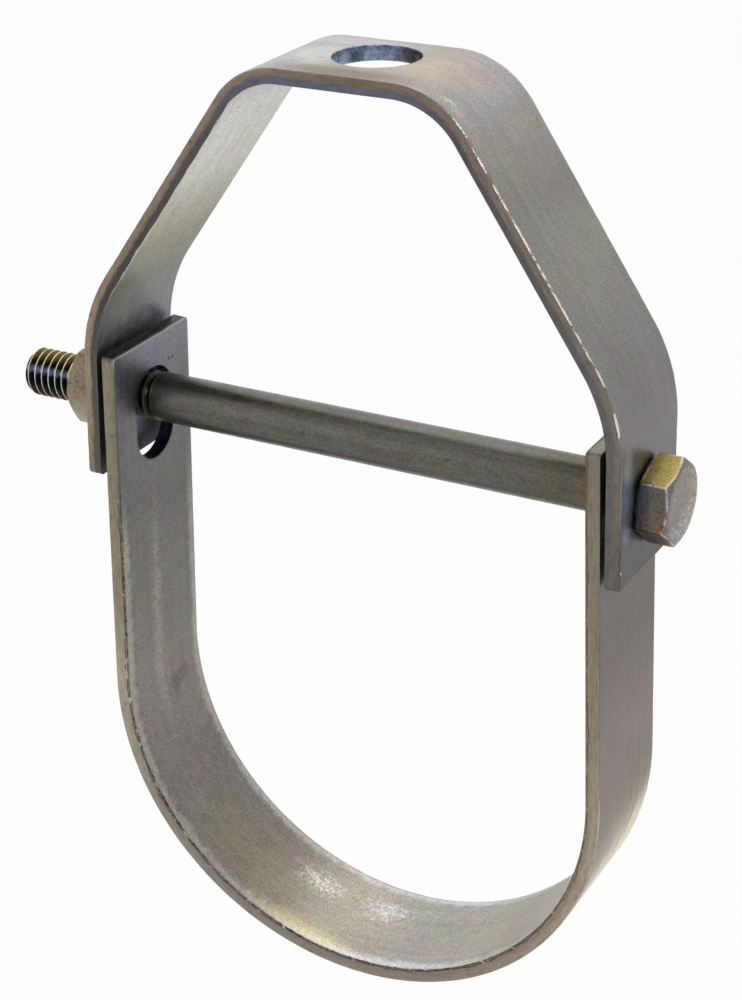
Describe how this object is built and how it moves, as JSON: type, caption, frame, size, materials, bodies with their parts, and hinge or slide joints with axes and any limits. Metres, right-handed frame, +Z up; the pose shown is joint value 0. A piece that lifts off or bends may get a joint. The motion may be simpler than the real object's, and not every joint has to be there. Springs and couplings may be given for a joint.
{
  "type": "clevis pipe hanger",
  "caption": "Clevis pipe hanger: bent steel yoke with a rod hole in its top plate, U strap that cradles a pipe, and a hex cross bolt with nut through slotted legs.",
  "frame": {"origin": "centre of the rod hole, level with the top plate's underside", "axes": "+Z up along the hanger rod, +X along the cross bolt towards its head, +Y along the pipe, away from the side that the picture shows"},
  "size_m": [0.1366, 0.0254, 0.1825],
  "materials": {
    "yoke_steel": "plain hot-rolled steel strip, lightly oiled, with mill marks",
    "strap_steel": "plain hot-rolled steel strip, lightly oiled, with scuffs",
    "bolt_steel": "plain oiled bolt steel, dark olive brown",
    "nut_steel": "dull tan-brown plain steel"
  },
  "bodies": {
    "yoke": {"upper_yoke": "yoke_steel"},
    "strap": {"lower_strap": "strap_steel"},
    "bolt": {"cross_bolt": "bolt_steel"},
    "nut": {"hex_nut": "nut_steel"}
  },
  "joints": [
    {"name": "strap_swing", "type": "hinge", "parent": "yoke", "child": "strap", "pos_m": [-0.0015, -0.0018, -0.06815], "axis": [1, 0, 0], "range_deg": [-90, 90]},
    {"name": "bolt_turn", "type": "hinge", "parent": "yoke", "child": "bolt", "pos_m": [-0.0015, -0.0018, -0.06815], "axis": [1, 0, 0], "range_deg": [0, 2160]},
    {"name": "nut_travel", "type": "slide", "parent": "yoke", "child": "nut", "axis": [-1, 0, 0], "range_m": [0, 0.0096]}
  ],
  "couplings": [
    {"joint": "nut_travel", "follows": "bolt_turn", "m_per_rad": 0.00025266}
  ]
}
